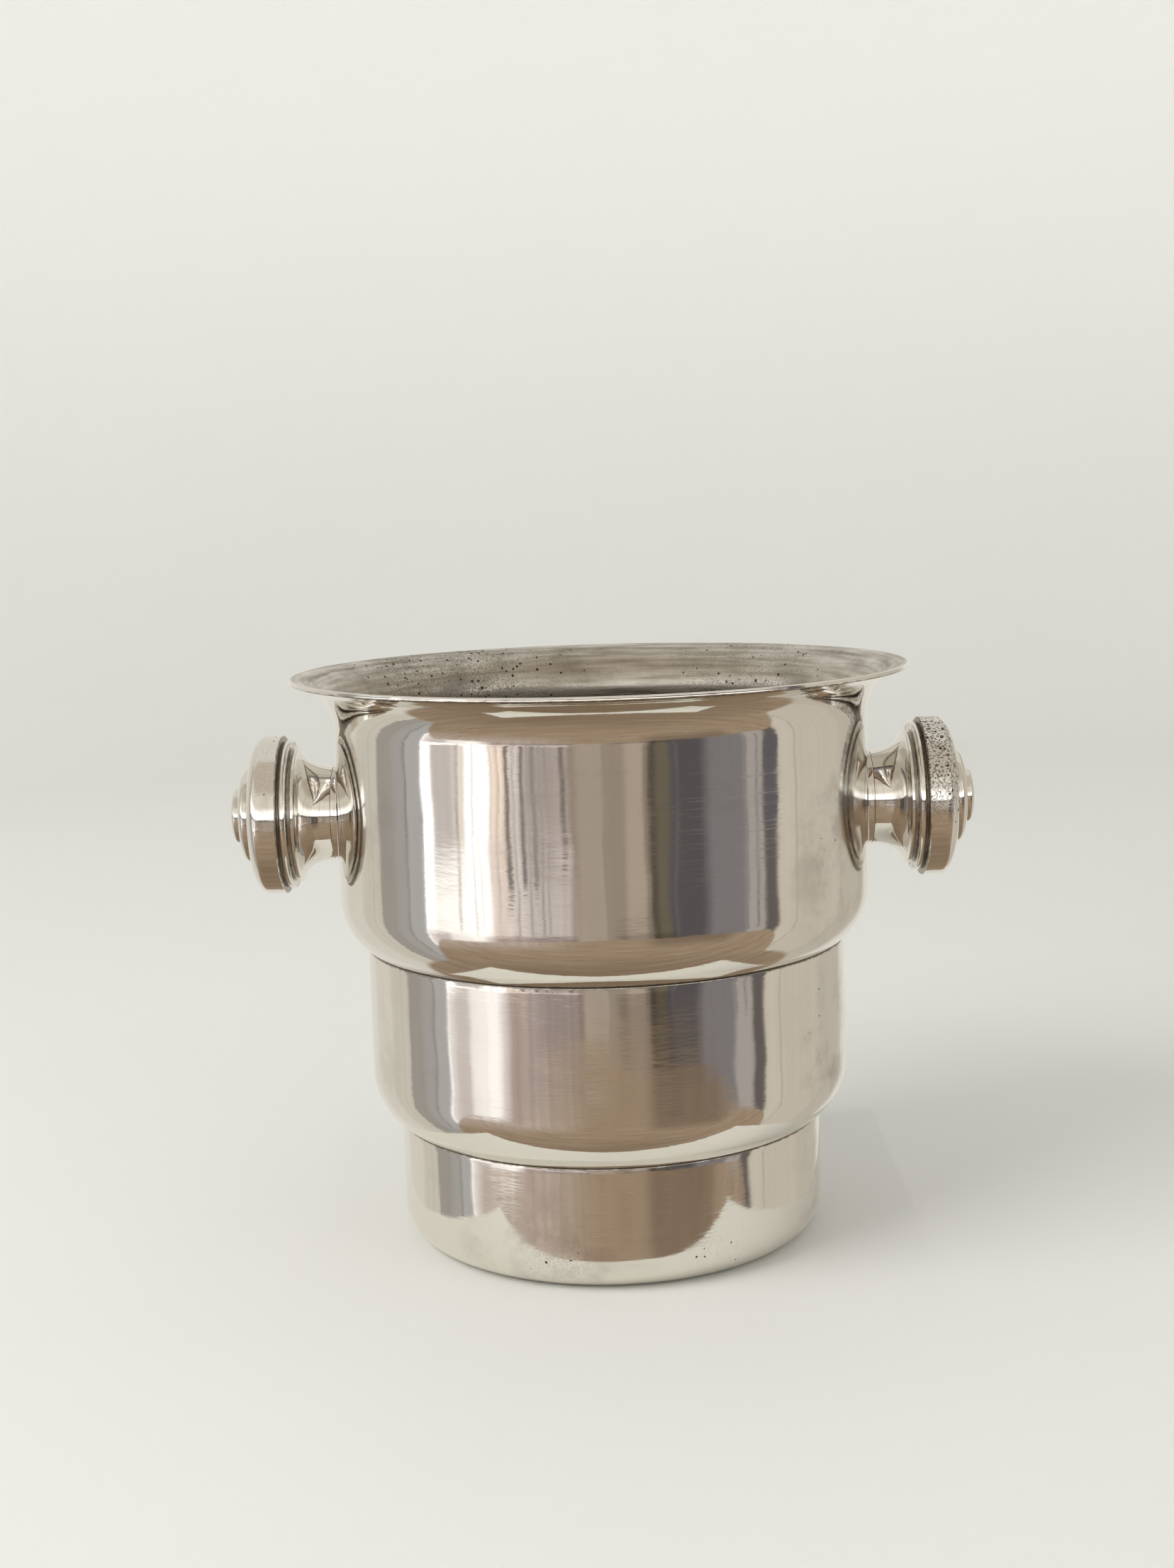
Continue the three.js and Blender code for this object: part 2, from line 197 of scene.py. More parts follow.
def turned(name, corners, segments):
    """A body of revolution about Z.

    A profile that starts on the axis ends on it, and any other closes on itself.
    """
    profile = with_rounds(corners)
    closed = profile[0][0] > 0
    profile = refined(profile, closed)

    def build(shape):
        rings = []
        for radius, height in profile:
            if radius == 0:
                rings.append([shape.verts.new((0, 0, height))])
                continue
            ring = []
            for i in range(segments):
                angle = 2 * math.pi * i / segments
                ring.append(shape.verts.new((radius * math.cos(angle), radius * math.sin(angle), height)))
            rings.append(ring)
        pairs = list(zip(rings, rings[1:]))
        if closed:
            pairs.append((rings[-1], rings[0]))
        for lower, upper in pairs:
            for i in range(segments):
                j = (i + 1) % segments
                if len(lower) == 1:
                    shape.faces.new((lower[0], upper[j], upper[i]))
                elif len(upper) == 1:
                    shape.faces.new((lower[i], lower[j], upper[0]))
                else:
                    shape.faces.new((lower[i], lower[j], upper[j], upper[i]))

    return new_object(name, build)


def move_points(made, place):
    """Moves every vertex to place(points), with points as rows of x, y, z."""
    count = len(made.data.vertices)
    points = np.empty(count * 3)
    made.data.vertices.foreach_get("co", points)
    moved = place(points.reshape(-1, 3))
    made.data.vertices.foreach_set("co", np.ascontiguousarray(moved).ravel())
    made.data.update()


def lay_along_x(made, side):
    """Turns a piece made about Z so that its axis is the handle's, pointing to side +1 or -1."""
    def place(points):
        radial, across, along = points.T
        return np.column_stack((side * along, side * across, HANDLE_Z - radial))

    move_points(made, place)
    return made


def cut_with(made, tool):
    """Takes tool's solid out of made, and removes tool."""
    cutter = made.modifiers.new("cut", "BOOLEAN")
    cutter.operation = "DIFFERENCE"
    cutter.solver = "EXACT"
    cutter.object = tool
    bpy.context.view_layer.update()
    result = made.evaluated_get(bpy.context.evaluated_depsgraph_get())
    mesh = bpy.data.meshes.new_from_object(result)
    made.modifiers.remove(cutter)
    made.data = mesh
    bpy.data.objects.remove(tool)
    return made


def hammer_out(made, seed, depth):
    """The slow unevenness that spinning and polishing leave in a sheet wall. It only goes inwards."""
    draw = np.random.default_rng(seed)
    waves = []
    for _ in range(26):
        around = draw.integers(5, 34)
        up = draw.uniform(60, 420)
        waves.append((around, up, *draw.uniform(0, 2 * math.pi, 2), 1 / (around + up / 20)))
    total = sum(w[4] for w in waves)

    def place(points):
        radius = np.hypot(points[:, 0], points[:, 1])
        angle = np.arctan2(points[:, 1], points[:, 0])
        height = points[:, 2]
        push = np.zeros(len(points))
        for around, up, turn, lift, size in waves:
            push += size * np.cos(around * angle + turn) * np.cos(up * height + lift)
        shift = -depth * (1 + push / total * 3).clip(0, 2) / 2
        share = np.divide(radius + shift, radius, out=np.ones_like(radius), where=radius > 20 * MM)
        return points * np.column_stack((share, share, np.ones_like(share)))

    move_points(made, place)
    return made


# ---------------------------------------------------------------- the bucket's body
def shoulder(wall_radius, radius_below, seam, bend):
    """Outside arc, spigot and inside arc of the shoulder under a tier, from the wall down and back up."""
    centre = wall_radius - bend
    sweep = math.acos((radius_below - centre) / bend)
    height = seam + JOINT_GAP + bend * math.sin(sweep)
    spigot = radius_below - SHEET - LAP_CLEARANCE
    inner_bend = bend - SHEET
    inner_sweep = math.acos((spigot - SHEET - centre) / inner_bend)
    outside = arc((centre, height), (bend, bend), 0, -math.degrees(sweep))
    lip = [
        (spigot, seam + JOINT_GAP),
        (spigot, seam - SPIGOT_DEPTH, EDGE_ROUND),
        (spigot - SHEET, seam - SPIGOT_DEPTH, EDGE_ROUND),
    ]
    inside = arc((centre, height), (inner_bend, inner_bend), -math.degrees(inner_sweep), 0)
    return outside + lip + inside


def mouth(wall_radius, seam):
    """Top edge of a tier that takes the spigot of the one above, from the inside outwards."""
    return [(wall_radius - SHEET, seam, EDGE_ROUND / 2), (wall_radius, seam, EDGE_ROUND)]


def upper_tier():
    flare_z = HEIGHT - SHEET - FLARE_DROP
    centre = (RIM_RADIUS, flare_z)
    inside = arc(centre, (FLARE_REACH + SHEET, FLARE_DROP + SHEET), 180, 95)
    edge = [(RIM_RADIUS, HEIGHT, EDGE_ROUND), (RIM_RADIUS - RIM_GROOVE_DEPTH, HEIGHT - SHEET / 2)]
    edge += [(RIM_RADIUS, HEIGHT - SHEET, EDGE_ROUND)]
    outside = arc(centre, (FLARE_REACH, FLARE_DROP), 95, 180)
    under = shoulder(UPPER_RADIUS, MIDDLE_RADIUS, UPPER_SEAM, UPPER_SHOULDER_BEND)
    tier = turned("upper_tier_shell", inside + edge + outside + under, BODY_SEGMENTS)
    hammer_out(tier, seed=11, depth=0.10 * MM)
    for side in (-1, 1):
        bore = [(0, 0), (STUD_BORE, 0), (STUD_BORE, RIM_RADIUS), (0, RIM_RADIUS)]
        cut_with(tier, lay_along_x(turned("bore", bore, FIXING_SEGMENTS), side))
    return smooth(tier)


def middle_tier():
    under = shoulder(MIDDLE_RADIUS, LOWER_RADIUS, LOWER_SEAM, MIDDLE_SHOULDER_BEND)
    tier = turned("middle_tier_shell", mouth(MIDDLE_RADIUS, UPPER_SEAM) + under, BODY_SEGMENTS)
    return smooth(hammer_out(tier, seed=23, depth=0.09 * MM))


def lower_tier():
    bend = LOWER_RADIUS - BASE_BEND
    ring = bend - RESTING_WIDTH
    floor = ring - FLOOR_RAMP
    inner = BASE_BEND - SHEET
    corners = [(0, FLOOR_LIFT), (floor, FLOOR_LIFT, FLOOR_BEND_ROUND), (ring, 0, FLOOR_BEND_ROUND)]
    corners += arc((bend, BASE_BEND), (BASE_BEND, BASE_BEND), -90, 0)
    corners += mouth(LOWER_RADIUS, LOWER_SEAM)[::-1]
    corners += arc((bend, BASE_BEND), (inner, inner), 0, -90)
    corners += [(ring, SHEET, FLOOR_BEND_ROUND), (floor, FLOOR_LIFT + SHEET, FLOOR_BEND_ROUND)]
    corners += [(0, FLOOR_LIFT + SHEET)]
    tier = turned("lower_tier_shell", corners, BODY_SEGMENTS)
    return smooth(hammer_out(tier, seed=37, depth=0.08 * MM))


# ---------------------------------------------------------------- the handles
def foot(side, name):
    """A low round foot whose back follows the wall."""
    radius = FOOT_HIGH.y
    outer = FOOT_HIGH.x
    inner = UPPER_RADIUS - 4 * MM
    ring = [
        (STUD_BORE, inner),
        (radius, inner),
        (radius, outer, 0.35 * MM),
        (STUD_BORE, outer),
    ]
    made = lay_along_x(turned(name, ring, HANDLE_SEGMENTS), side)
    wall = UPPER_RADIUS + 0.15 * MM
    bottom, top = HANDLE_Z - 2 * radius, HANDLE_Z + 2 * radius
    tool = turned("wall", [(0, bottom), (wall, bottom), (wall, top), (0, top)], 2 * BODY_SEGMENTS)
    return smooth(cut_with(made, tool))


def neck(side, name):
    """The trumpet between the foot and the bead ring, hollow from its wide end."""
    inner, outer = NECK_LOW.x, NECK_HIGH.x
    lip = NECK_HIGH.y
    root = FOOT_HIGH.y
    lip_start = outer - NECK_LIP
    flare = arc((lip, inner), (lip - root, lip_start - inner), 180, 97)
    corners = [(STUD_BORE, inner)] + flare
    corners += [(lip, lip_start, 0.25 * MM), (lip, outer, 0.25 * MM)]
    corners += [(root - NECK_SHELL, outer), (root - NECK_SHELL, inner + NECK_SHELL)]
    corners += [(STUD_BORE, inner + NECK_SHELL)]
    return smooth(lay_along_x(turned(name, corners, HANDLE_SEGMENTS), side))


def bead_ring(side, name):
    """A low rounded bead between a dark groove at the neck and a narrow one at the drum."""
    inner, outer = BEAD_LOW.x, BEAD_HIGH.x
    top = BEAD_HIGH.y
    start, end = inner + NECK_GROOVE_WIDTH, outer - DRUM_GROOVE_WIDTH
    corners = [(STUD_BORE, inner), (NECK_GROOVE_RADIUS, inner), (NECK_GROOVE_RADIUS, start, 0.2 * MM)]
    corners += arc((top - BEAD_CROWN, (start + end) / 2), (BEAD_CROWN, (end - start) / 2), -90, 90)
    corners += [(DRUM_GROOVE_RADIUS, end, 0.15 * MM), (DRUM_GROOVE_RADIUS, outer), (STUD_BORE, outer)]
    return smooth(lay_along_x(turned(name, corners, HANDLE_SEGMENTS), side))


def drum(side, name):
    """The wide drum with a convex crown, hollow behind a turned-in lip, with a hub round the stud."""
    inner, outer = DRUM_LOW.x, DRUM_HIGH.x
    radius = DRUM_HIGH.z - HANDLE_Z
    step = STEP_HIGH.y
    band_end = outer - DRUM_CROWN
    hollow = radius - DRUM_SHELL
    corners = [(DRUM_LIP_RADIUS, inner), (radius, inner, 0.6 * MM)]
    corners += [(radius, band_end - 0.35 * MM)]
    corners += arc((step, band_end), (radius - step, DRUM_CROWN), 4, 90)
    corners += [(STUD_BORE, outer), (STUD_BORE, inner)]
    corners += [(DRUM_HUB_RADIUS, inner), (DRUM_HUB_RADIUS, outer - DRUM_SHELL)]
    corners += [(step, outer - DRUM_SHELL), (hollow, band_end)]
    corners += [(hollow, inner + DRUM_SHELL), (DRUM_LIP_RADIUS, inner + DRUM_SHELL)]
    return smooth(lay_along_x(turned(name, corners, HANDLE_SEGMENTS), side))


def step_disc(side, name):
    """The stepped disc on the drum, hollow behind for the stud's head."""
    inner, outer = STEP_LOW.x, STEP_HIGH.x
    radius = STEP_HIGH.y
    top = BUTTON_HIGH.y
    pocket = STUD_HIGH.y + 0.3 * MM
    pocket_end = inner + STUD_POCKET_DEPTH
    edge = inner + DISC_EDGE
    corners = [(0, pocket_end), (pocket, pocket_end), (pocket, inner), (radius, inner)]
    corners += [(radius, edge - 0.25 * MM)]
    corners += arc((top, edge), (radius - top, outer - edge), 6, 90)
    corners += [(0, outer)]
    return smooth(lay_along_x(turned(name, corners, HANDLE_SEGMENTS), side))


def button(side, name):
    """The domed boss in the middle."""
    inner, outer = BUTTON_LOW.x, BUTTON_HIGH.x
    radius = BUTTON_HIGH.y
    edge = inner + DISC_EDGE
    corners = [(0, inner), (radius, inner), (radius, edge - 0.2 * MM)]
    corners += arc((0, edge), (radius, outer - edge), 6, 90)[:-1] + [(0, outer)]
    return smooth(lay_along_x(turned(name, corners, HANDLE_SEGMENTS), side))


def stud(side, name):
    """The tie stud, with the turns of its thread shown as grooves behind the nut."""
    tail, tip = STUD_LOW.x, STUD_HIGH.x
    head = STUD_HIGH.y
    head_start = STEP_LOW.x
    groove = STUD_RADIUS - THREAD_DEPTH
    corners = [(0, tail), (STUD_RADIUS - 0.8 * MM, tail), (groove, tail + 0.4 * MM)]
    at = tail + 0.5 * MM
    while at < WASHER_LOW.x + 2 * MM:
        corners += [(STUD_RADIUS, at + THREAD_PITCH / 2), (groove, at + THREAD_PITCH)]
        at += THREAD_PITCH
    corners += [(STUD_RADIUS, at + THREAD_PITCH), (STUD_RADIUS, head_start), (head, head_start)]
    corners += [(head, tip, EDGE_ROUND), (0, tip)]
    return smooth(lay_along_x(turned(name, corners, FIXING_SEGMENTS), side))


def saddle_washer(side, name):
    """A round washer whose back follows the inside of the wall."""
    radius = WASHER_HIGH.y
    seat = WASHER_LOW.x
    blank = [
        (STUD_BORE, seat, 0.2 * MM),
        (radius, seat, 0.4 * MM),
        (radius, UPPER_RADIUS),
        (STUD_BORE, UPPER_RADIUS),
    ]
    made = lay_along_x(turned(name, blank, HANDLE_SEGMENTS), side)
    wall = UPPER_RADIUS - SHEET - 0.27 * MM
    bottom, top = HANDLE_Z - 2 * radius, HANDLE_Z + 2 * radius
    outside = [(wall, bottom), (2 * wall, bottom), (2 * wall, top), (wall, top)]
    return smooth(cut_with(made, turned("outside", outside, 2 * BODY_SEGMENTS)))


def nut(side, name):
    """A hexagon nut with turned chamfers on both faces."""
    low, high = NUT_LOW.x, NUT_HIGH.x
    corner = NUT_HIGH.z - HANDLE_Z
    across = max(NUT_HIGH.y, corner)
    flat = across * math.cos(math.pi / 6)
    chamfer = across - flat
    body = [(NUT_BORE, low), (flat, low), (across, low + chamfer * 0.6)]
    body += [(across, high - chamfer * 0.6), (flat, high), (NUT_BORE, high)]
    made = turned(name, body, FIXING_SEGMENTS)
    for i in range(6):
        angle = math.pi / 3 * i + math.pi / 6
        box = turned("flat", [(0, -1), (1, -1), (1, 1), (0, 1)], 4)
        reach = math.sqrt(0.5)
        box.data.transform(Matrix.Rotation(math.pi / 4, 4, "Z"))
        box.data.transform(Matrix.Translation((flat + reach, 0, 0)))
        box.data.transform(Matrix.Rotation(angle, 4, "Z"))
        cut_with(made, box)
    return smooth(lay_along_x(made, side))


# ---------------------------------------------------------------- shader helpers
def srgb(red, green, blue, gain=1.0):
    """A display colour, 0 to 255, as linear light."""
    def linear(value):
        share = value / 255
        return gain * (share / 12.92 if share <= 0.04045 else ((share + 0.055) / 1.055) ** 2.4)

    return linear(red), linear(green), linear(blue), 1.0


def add(tree, kind, inputs=None, **settings):
    """A new node with its settings, its plain values and its incoming links."""
    made = tree.nodes.new(kind)
    for key, value in settings.items():
        setattr(made, key, value)
    for key, value in (inputs or {}).items():
        if isinstance(value, bpy.types.NodeSocket):
            tree.links.new(value, made.inputs[key])
        else:
            made.inputs[key].default_value = value
    return made


def maths(tree, operation, first, second=0.0, clamp=False):
    made = add(tree, "ShaderNodeMath", {0: first, 1: second}, operation=operation, use_clamp=clamp)
    return made.outputs[0]


def times(tree, first, second, clamp=False):
    return maths(tree, "MULTIPLY", first, second, clamp)


def plus(tree, first, second, clamp=False):
    return maths(tree, "ADD", first, second, clamp)


def fade(tree, value, start, end):
    """0 below start, 1 above end, smooth between them. Start above end turns it round."""
    made = add(
        tree,
        "ShaderNodeMapRange",
        {"Value": value, "From Min": start, "From Max": end},
        interpolation_type="SMOOTHSTEP",
    )
    return made.outputs["Result"]


def fade_degrees(tree, angle, start, end):
    """fade() of an angle in radians, between ends in degrees."""
    return fade(tree, angle, math.radians(start), math.radians(end))


def mixed(tree, share, first, second, blend="MIX"):
    made = add(tree, "ShaderNodeMix", data_type="RGBA", blend_type=blend)
    for index, value in ((0, share), (6, first), (7, second)):
        if isinstance(value, bpy.types.NodeSocket):
            tree.links.new(value, made.inputs[index])
        else:
            made.inputs[index].default_value = value
    return made.outputs[2]


def noise(tree, vector, scale, detail=3.0, roughness=0.55):
    inputs = {"Vector": vector, "Scale": scale, "Detail": detail, "Roughness": roughness}
    return add(tree, "ShaderNodeTexNoise", inputs).outputs["Fac"]


def vector_of(tree, x, y, z):
    return add(tree, "ShaderNodeCombineXYZ", {"X": x, "Y": y, "Z": z}).outputs[0]


def parts_of(tree, vector):
    """Sockets for a vector's x, y and z."""
    return add(tree, "ShaderNodeSeparateXYZ", {0: vector}).outputs


def sum_of(tree, *terms):
    total = terms[0]
    for term in terms[1:]:
        total = plus(tree, total, term)
    return total


def wobble(tree, vector, scale, detail):
    """Noise about zero."""
    return maths(tree, "SUBTRACT", noise(tree, vector, scale, detail), 0.5)


def darkened(tree, share, colour, tone):
    """A colour multiplied by a tone, as far as share says."""
    return mixed(tree, share, colour, mixed(tree, 1.0, colour, tone, "MULTIPLY"))


# ---------------------------------------------------------------- materials
PLATE_BRIGHT = srgb(238, 236, 232)
PLATE_WARM = srgb(230, 227, 221)
# also the colour of the painted shade in the seams, grooves and under the rim edge
TARNISH_AND_SEAM_SHADE = srgb(120, 108, 92)
PIT_BOTTOM = srgb(86, 77, 66)
SATIN_LIGHT = srgb(214, 210, 203)
SATIN_GREY = srgb(170, 163, 152)
SATIN_SMOKED = srgb(132, 124, 112)
# the inside's satin deep down, darkened as painted shade
SATIN_DEEP_SHADE = srgb(148, 141, 130)
PIT_CELLS = 780.0  # cells per metre, of which the pitted patches fill a share
PIT_RAGGEDNESS = 0.35 * MM
RELIEF_DEPTH = 0.012 * MM
# where the painted shade inside the bucket starts and where it is deepest
SHADE_STARTS, SHADE_DEEPEST = 4 * MM, 26 * MM  # below the rim


def new_material(name):
    made = bpy.data.materials.new(name)
    made.use_nodes = True
    made.node_tree.nodes.clear()
    return made, made.node_tree


def silver(name, axis, wear=0.5, pitted=(), rubbed=(), stained=(), seam_tarnish_and_shade=()):
    """Silver plate turned about an axis: turning lines, faint tarnish, pits, rubbed patches, and dark seams
    that are partly tarnish and partly painted shade.

    pitted and rubbed hold (point, radius, strength), stained holds (point, radius, strength) of smoky
    tarnish, and the last argument holds (place along the axis, half width) of dark seams, partly tarnish
    and partly painted shade.
    """
    made, tree = new_material(name)
    place = add(tree, "ShaderNodeTexCoord").outputs["Object"]
    x, y, z = parts_of(tree, place)
    if axis == "Z":
        along, first, second = z, x, y
    else:
        along, first, second = x, y, maths(tree, "SUBTRACT", z, HANDLE_Z)
    squares = plus(tree, maths(tree, "POWER", first, 2.0), maths(tree, "POWER", second, 2.0))
    across = maths(tree, "SQRT", squares)
    run = plus(tree, along, times(tree, across, 0.8))

    def lines(slow, fast, detail):
        """Noise drawn out along the direction of turning."""
        stretched = (times(tree, first, slow), times(tree, second, slow), times(tree, run, fast))
        return noise(tree, vector_of(tree, *stretched), 1.0, detail)

    def patches(spots):
        """Sum of soft round patches, each (point, radius, strength)."""
        total = 0.0
        for point, radius, strength in spots:
            measure = add(tree, "ShaderNodeVectorMath", {0: place, 1: point}, operation="DISTANCE")
            near = fade(tree, measure.outputs["Value"], radius, radius * 0.35)
            near = times(tree, near, strength)
            total = plus(tree, near, total)
        return total

    ripple = lines(80.0, 260.0, 3.5)
    hair = lines(150.0, 1300.0, 2.0)
    scratch = fade(tree, lines(48.0, 2300.0, 3.0), 0.50, 0.66)
    streak = fade(tree, lines(22.0, 190.0, 4.0), 0.50, 0.78)
    cloud = noise(tree, place, 26.0, 4.0)
    bloom = fade(tree, cloud, 0.50, 0.80)
    smoke = fade(tree, noise(tree, place, 70.0, 6.0, 0.65), 0.42, 0.70)
    rub = plus(tree, patches(rubbed), 0.05)
    scuffs = times(tree, scratch, rub)

    # pits: small ragged specks, thicker in the pitted patches
    jitter = add(tree, "ShaderNodeTexNoise", {"Vector": place, "Scale": 2600.0, "Detail": 2.0})
    shaken = mixed(tree, PIT_RAGGEDNESS, place, jitter.outputs["Color"], "ADD")
    cells = add(tree, "ShaderNodeTexVoronoi", {"Vector": shaken, "Scale": PIT_CELLS})
    chance = add(tree, "ShaderNodeSeparateColor", {0: cells.outputs["Color"]}).outputs
    heavy = patches(pitted)
    density = plus(tree, times(tree, bloom, 0.02 * wear), heavy)
    chosen = maths(tree, "LESS_THAN", chance[0], density)
    swell = plus(tree, times(tree, heavy, 6.0, clamp=True), 1.0)
    size = times(tree, times(tree, maths(tree, "POWER", chance[1], 2.0), 0.26), swell)
    spot = fade(tree, maths(tree, "SUBTRACT", cells.outputs["Distance"], size), 0.04, -0.08)
    crumb = fade(tree, noise(tree, place, 1400.0, 4.0, 0.62), 0.50, 0.57)
    crumb = times(tree, crumb, times(tree, heavy, 1.3, clamp=True))
    pit = maths(tree, "MAXIMUM", times(tree, chosen, spot), times(tree, crumb, 0.8))

    # tarnish: faint streaks and smoky stains; ragged dark lines in the seams, partly tarnish and partly
    # painted shade
    tarnish_and_seam_shade = times(tree, times(tree, streak, bloom), 0.35 * wear)
    tarnish_and_seam_shade = plus(tree, tarnish_and_seam_shade, times(tree, smoke, patches(stained)))
    ragged = times(tree, wobble(tree, place, 420.0, 3.0), 1.2 * MM)
    for height, half in seam_tarnish_and_shade:
        gap = maths(tree, "ABSOLUTE", maths(tree, "SUBTRACT", along, height))
        line = fade(tree, plus(tree, gap, ragged), half, half * 0.3)
        tarnish_and_seam_shade = maths(tree, "MAXIMUM", tarnish_and_seam_shade, times(tree, line, 0.75))

    # the inside and the top of the flare are only brushed: satin and greyer, with painted shade darkening
    # it down the bucket
    facing = parts_of(tree, add(tree, "ShaderNodeNewGeometry").outputs["True Normal"])
    outward = plus(tree, times(tree, facing[0], x), times(tree, facing[1], y))
    inside = fade(tree, outward, 0.0, -0.006) if axis == "Z" else 0.0
    brushed = fade(tree, lines(34.0, 380.0, 6.0), 0.34, 0.68)
    # painted shade: the inside darkens towards the bottom
    deep_shade = fade(tree, z, HEIGHT - SHADE_STARTS, HEIGHT - SHADE_DEEPEST)
    satin = mixed(tree, brushed, SATIN_LIGHT, SATIN_GREY)
    satin = mixed(tree, times(tree, smoke, 0.45), satin, SATIN_SMOKED)
    satin = mixed(tree, deep_shade, satin, SATIN_DEEP_SHADE)

    plate = mixed(tree, cloud, PLATE_BRIGHT, PLATE_WARM)
    # the tarnish colour also paints shade into the seams and grooves
    colour = mixed(tree, inside, mixed(tree, tarnish_and_seam_shade, plate, TARNISH_AND_SEAM_SHADE), satin)
    colour = mixed(tree, pit, colour, PIT_BOTTOM)
    rough = sum_of(
        tree,
        times(tree, hair, 0.05),
        times(tree, scuffs, 0.12),
        times(tree, bloom, 0.05),
        times(tree, tarnish_and_seam_shade, 0.35),
        times(tree, pit, 0.4),
        times(tree, inside, plus(tree, 0.15, times(tree, brushed, 0.14))),
    )
    rough = plus(tree, rough, 0.03, clamp=True)
    relief = sum_of(
        tree,
        times(tree, hair, 0.5),
        times(tree, ripple, 1.7),
        times(tree, scuffs, -0.06),
        times(tree, pit, -3.0),
        times(tree, times(tree, brushed, inside), 1.5),
    )
    bump = add(tree, "ShaderNodeBump", {"Height": relief, "Strength": 1.0, "Distance": RELIEF_DEPTH})
    surface = add(
        tree,
        "ShaderNodeBsdfPrincipled",
        {"Base Color": colour, "Metallic": 1.0, "Roughness": rough, "Normal": bump.outputs[0]},
    )
    add(tree, "ShaderNodeOutputMaterial", {"Surface": surface.outputs[0]})
    return made


def dull_metal(name, light, dark, roughness):
    """A turned fixing that nobody polishes: mottled, with fine turning lines."""
    made, tree = new_material(name)
    place = add(tree, "ShaderNodeTexCoord").outputs["Object"]
    stretched = add(
        tree, "ShaderNodeVectorMath", {0: place, 1: (1800.0, 90.0, 90.0)}, operation="MULTIPLY"
    ).outputs[0]
    turning = noise(tree, stretched, 1.0, 2.0)
    mottle = fade(tree, noise(tree, place, 240.0, 5.0), 0.38, 0.66)
    colour = mixed(tree, mottle, light, dark)
    rough = sum_of(tree, times(tree, mottle, 0.22), roughness, times(tree, turning, 0.08))
    bump = add(tree, "ShaderNodeBump", {"Height": turning, "Strength": 1.0, "Distance": 0.02 * MM})
    surface = add(
        tree,
        "ShaderNodeBsdfPrincipled",
        {"Base Color": colour, "Metallic": 1.0, "Roughness": rough, "Normal": bump.outputs[0]},
    )
    add(tree, "ShaderNodeOutputMaterial", {"Surface": surface.outputs[0]})
    return made


# ---------------------------------------------------------------- assembly
def put(piece, node, material):
    """The finished piece stands for its CAD node, with one material."""
    piece.data.materials.clear()
    piece.data.materials.append(material)
    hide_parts(node)
    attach(piece, "root")


def on_wall(radius, degrees, height):
    """A point on a wall of this radius, by the angle from the front, right positive."""
    angle = math.radians(degrees)
    return radius * math.sin(angle), -radius * math.cos(angle), height


def build_body():
    # the last list of each finish gives dark seam lines, partly tarnish and partly painted shade
    upper = silver(
        "silver_upper",
        "Z",
        wear=0.8,
        pitted=[
            ((-64 * MM, 70 * MM, HEIGHT), 50 * MM, 0.34),
            ((-30 * MM, 92 * MM, HEIGHT), 40 * MM, 0.16),
            ((62 * MM, 74 * MM, HEIGHT), 50 * MM, 0.22),
            (on_wall(UPPER_RADIUS, 62, 150 * MM), 34 * MM, 0.03),
        ],
        rubbed=[(on_wall(UPPER_RADIUS, 24, 150 * MM), 34 * MM, 0.9)],
        stained=[
            (on_wall(UPPER_RADIUS, 60, 136 * MM), 42 * MM, 0.32),
            (on_wall(UPPER_RADIUS, 80, 165 * MM), 30 * MM, 0.25),
            (on_wall(UPPER_RADIUS, -60, 150 * MM), 34 * MM, 0.12),
        ],
        seam_tarnish_and_shade=[(UPPER_SEAM, 0.8 * MM), (HEIGHT - SHEET, 0.5 * MM)],
    )
    middle = silver(
        "silver_middle",
        "Z",
        wear=0.5,
        pitted=[(on_wall(MIDDLE_RADIUS, 60, 85 * MM), 34 * MM, 0.03)],
        rubbed=[(on_wall(MIDDLE_RADIUS, 15, 82 * MM), 24 * MM, 0.4)],
        stained=[
            (on_wall(MIDDLE_RADIUS, 66, 72 * MM), 34 * MM, 0.32),
            (on_wall(MIDDLE_RADIUS, -70, 70 * MM), 26 * MM, 0.16),
        ],
        seam_tarnish_and_shade=[(LOWER_SEAM, 0.8 * MM), (UPPER_SEAM, 0.8 * MM)],
    )
    lower = silver(
        "silver_lower",
        "Z",
        wear=0.6,
        pitted=[
            (on_wall(LOWER_RADIUS, -14, 5 * MM), 16 * MM, 0.16),
            (on_wall(LOWER_RADIUS, 30, 3 * MM), 22 * MM, 0.08),
        ],
        rubbed=[
            (on_wall(LOWER_RADIUS, 25, 22 * MM), 16 * MM, 0.6),
            (on_wall(LOWER_RADIUS, -14, 6 * MM), 14 * MM, 0.7),
        ],
        stained=[
            (on_wall(LOWER_RADIUS, -20, 2 * MM), 40 * MM, 0.35),
            (on_wall(LOWER_RADIUS, 68, 20 * MM), 26 * MM, 0.25),
        ],
        seam_tarnish_and_shade=[(LOWER_SEAM, 0.7 * MM)],
    )
    put(upper_tier(), "upper_tier", upper)
    put(middle_tier(), "middle_tier", middle)
    put(lower_tier(), "lower_tier", lower)


HANDLE_MAKERS = {
    "foot": foot,
    "neck": neck,
    "bead_ring": bead_ring,
    "drum": drum,
    "step_disc": step_disc,
    "button": button,
}


